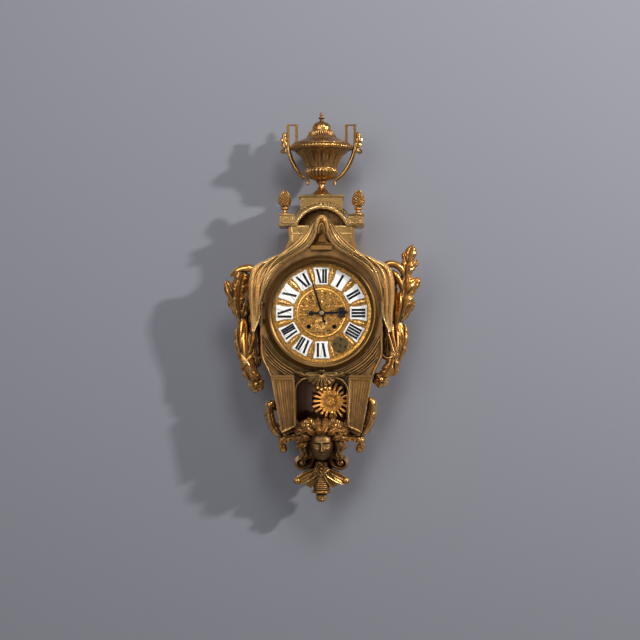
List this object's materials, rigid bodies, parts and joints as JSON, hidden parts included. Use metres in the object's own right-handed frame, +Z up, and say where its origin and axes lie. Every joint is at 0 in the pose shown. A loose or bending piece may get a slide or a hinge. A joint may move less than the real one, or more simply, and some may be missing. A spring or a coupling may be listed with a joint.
{
  "type": "wall cartel clock",
  "caption": "Gilt bronze wall cartel clock with urn, drapery, leaf branches and mask, a hinged bezel, an enamel plaque dial and a striking pendulum movement.",
  "frame": {"origin": "centre of the hanging hole on the wall plane", "axes": "+Z up, +Y into the wall so the dial faces -Y, +X to the viewer's right"},
  "size_m": [0.4087, 0.161, 0.8245],
  "materials": {
    "gilt_bronze": "worn mercury gilding, bright on the high parts",
    "dull_gilt": "dull olive gilding with brown recesses",
    "movement_brass": "turned brass",
    "steel": "plain steel",
    "board_wood": "dark stained wood",
    "clear_glass": "clear convex glass",
    "dial_gilt": "embossed and gilt",
    "white_enamel": "fired white enamel",
    "blued_steel": "dark blued steel",
    "bob_gilt": "bright gilding",
    "bell_metal": "turned bell metal"
  },
  "bodies": {
    "case": {"case_body": "dull_gilt", "back_board": "board_wood", "screws": "steel", "hanger": "steel", "pedestal": "gilt_bronze", "niche_plaque": "gilt_bronze", "urn_bowl": "gilt_bronze", "urn_lid": "gilt_bronze", "urn_handle_left": "gilt_bronze", "urn_handle_right": "gilt_bronze", "pine_cone_left": "gilt_bronze", "pine_cone_right": "gilt_bronze", "drapery_knot": "gilt_bronze", "drapery_left": "gilt_bronze", "drapery_right": "gilt_bronze", "leaf_branch_left": "gilt_bronze", "leaf_branch_right": "gilt_bronze", "pilaster_left": "dull_gilt", "pilaster_right": "dull_gilt", "shell": "gilt_bronze", "side_scroll_left": "gilt_bronze", "side_scroll_right": "gilt_bronze", "mask": "dull_gilt", "pendant": "gilt_bronze", "berry_drop": "gilt_bronze", "bezel_hinge": "dull_gilt", "hinge_pin": "steel", "dial_plate": "dial_gilt", "numeral_plaques": "white_enamel", "front_plate": "movement_brass", "back_plate": "movement_brass", "plate_pillars": "movement_brass", "back_cock": "movement_brass", "bell": "bell_metal", "bell_stand": "steel"},
    "bezel_door": {"bezel": "dull_gilt", "bezel_glass": "clear_glass"},
    "minute_work": {"minute_hand": "blued_steel", "hand_nut": "steel", "cannon_pinion": "movement_brass", "centre_arbor": "movement_brass"},
    "hour_work": {"hour_hand": "blued_steel", "hour_wheel": "movement_brass"},
    "minute_wheel": {"minute_wheel": "movement_brass"},
    "second_wheel": {"second_wheel": "movement_brass"},
    "going_barrel": {"going_barrel": "movement_brass"},
    "going_arbor": {"going_winding_arbor": "steel"},
    "third_wheel": {"third_wheel": "movement_brass"},
    "escape_wheel": {"escape_wheel": "movement_brass"},
    "anchor": {"anchor": "steel"},
    "pendulum": {"pendulum_rod": "steel", "pendulum_bob": "bob_gilt", "rating_nut": "movement_brass"},
    "strike_barrel": {"strike_barrel": "movement_brass"},
    "strike_arbor": {"strike_winding_arbor": "steel"},
    "strike_wheel": {"strike_wheel": "movement_brass", "count_wheel": "movement_brass"},
    "pin_wheel": {"pin_wheel": "movement_brass"},
    "fly": {"fly": "movement_brass"},
    "hammer": {"hammer": "steel"}
  },
  "joints": [
    {"name": "bezel_hinge_turn", "type": "hinge", "parent": "case", "child": "bezel_door", "pos_m": [-0.1245, -0.125, -0.15], "axis": [0, 0, -1], "range_deg": [0, 95]},
    {"name": "minute_turn", "type": "hinge", "parent": "case", "child": "minute_work", "pos_m": [0, -0.11, -0.15], "axis": [0, 1, 0], "continuous": true},
    {"name": "hour_turn", "type": "hinge", "parent": "case", "child": "hour_work", "pos_m": [0, -0.115, -0.15], "axis": [0, 1, 0], "continuous": true},
    {"name": "minute_wheel_turn", "type": "hinge", "parent": "case", "child": "minute_wheel", "pos_m": [0, -0.105, -0.174], "axis": [0, 1, 0], "continuous": true},
    {"name": "second_wheel_turn", "type": "hinge", "parent": "case", "child": "second_wheel", "pos_m": [0.0202, -0.09, -0.15349], "axis": [0, 1, 0], "continuous": true},
    {"name": "going_barrel_turn", "type": "hinge", "parent": "case", "child": "going_barrel", "pos_m": [0.027, -0.075, -0.179], "axis": [0, 1, 0], "continuous": true},
    {"name": "third_wheel_turn", "type": "hinge", "parent": "case", "child": "third_wheel", "pos_m": [0.00955, -0.08, -0.13345], "axis": [0, 1, 0], "continuous": true},
    {"name": "escape_wheel_turn", "type": "hinge", "parent": "case", "child": "escape_wheel", "pos_m": [0, -0.08, -0.12087], "axis": [0, 1, 0], "continuous": true},
    {"name": "going_winding", "type": "hinge", "parent": "case", "child": "going_arbor", "pos_m": [0.027, -0.095, -0.179], "axis": [0, 1, 0], "continuous": true},
    {"name": "strike_winding", "type": "hinge", "parent": "case", "child": "strike_arbor", "pos_m": [-0.027, -0.095, -0.179], "axis": [0, 1, 0], "continuous": true},
    {"name": "pin_wheel_turn", "type": "hinge", "parent": "case", "child": "pin_wheel", "pos_m": [-0.02376, -0.085, -0.1333], "axis": [0, 1, 0], "continuous": true},
    {"name": "strike_wheel_turn", "type": "hinge", "parent": "case", "child": "strike_wheel", "pos_m": [-0.0202, -0.09, -0.15349], "axis": [0, 1, 0], "continuous": true},
    {"name": "strike_barrel_turn", "type": "hinge", "parent": "case", "child": "strike_barrel", "pos_m": [-0.027, -0.075, -0.179], "axis": [0, 1, 0], "continuous": true},
    {"name": "fly_turn", "type": "hinge", "parent": "case", "child": "fly", "pos_m": [-0.02029, -0.08, -0.12036], "axis": [0, 1, 0], "continuous": true},
    {"name": "hammer_lift", "type": "hinge", "parent": "case", "child": "hammer", "pos_m": [-0.046, -0.075, -0.128], "axis": [0, 1, 0], "range_deg": [0, 18]},
    {"name": "pendulum_swing", "type": "hinge", "parent": "case", "child": "pendulum", "pos_m": [0, -0.05, -0.10487], "axis": [0, 1, 0], "range_deg": [-0.6, 10.4]},
    {"name": "anchor_rock", "type": "hinge", "parent": "case", "child": "anchor", "pos_m": [0, -0.06, -0.10487], "axis": [0, 1, 0], "range_deg": [-0.6, 10.4]}
  ],
  "couplings": [
    {"joint": "hour_turn", "follows": "minute_turn", "ratio": 0.083333},
    {"joint": "minute_wheel_turn", "follows": "minute_turn", "ratio": -0.33333},
    {"joint": "second_wheel_turn", "follows": "minute_turn", "ratio": -0.13889},
    {"joint": "going_barrel_turn", "follows": "minute_turn", "ratio": 0.019841},
    {"joint": "third_wheel_turn", "follows": "minute_turn", "ratio": -12},
    {"joint": "escape_wheel_turn", "follows": "minute_turn", "ratio": 123.43},
    {"joint": "strike_wheel_turn", "follows": "pin_wheel_turn", "ratio": -0.13889},
    {"joint": "strike_barrel_turn", "follows": "pin_wheel_turn", "ratio": 0.019841},
    {"joint": "fly_turn", "follows": "pin_wheel_turn", "ratio": -8.5714},
    {"joint": "anchor_rock", "follows": "pendulum_swing", "ratio": 1}
  ]
}
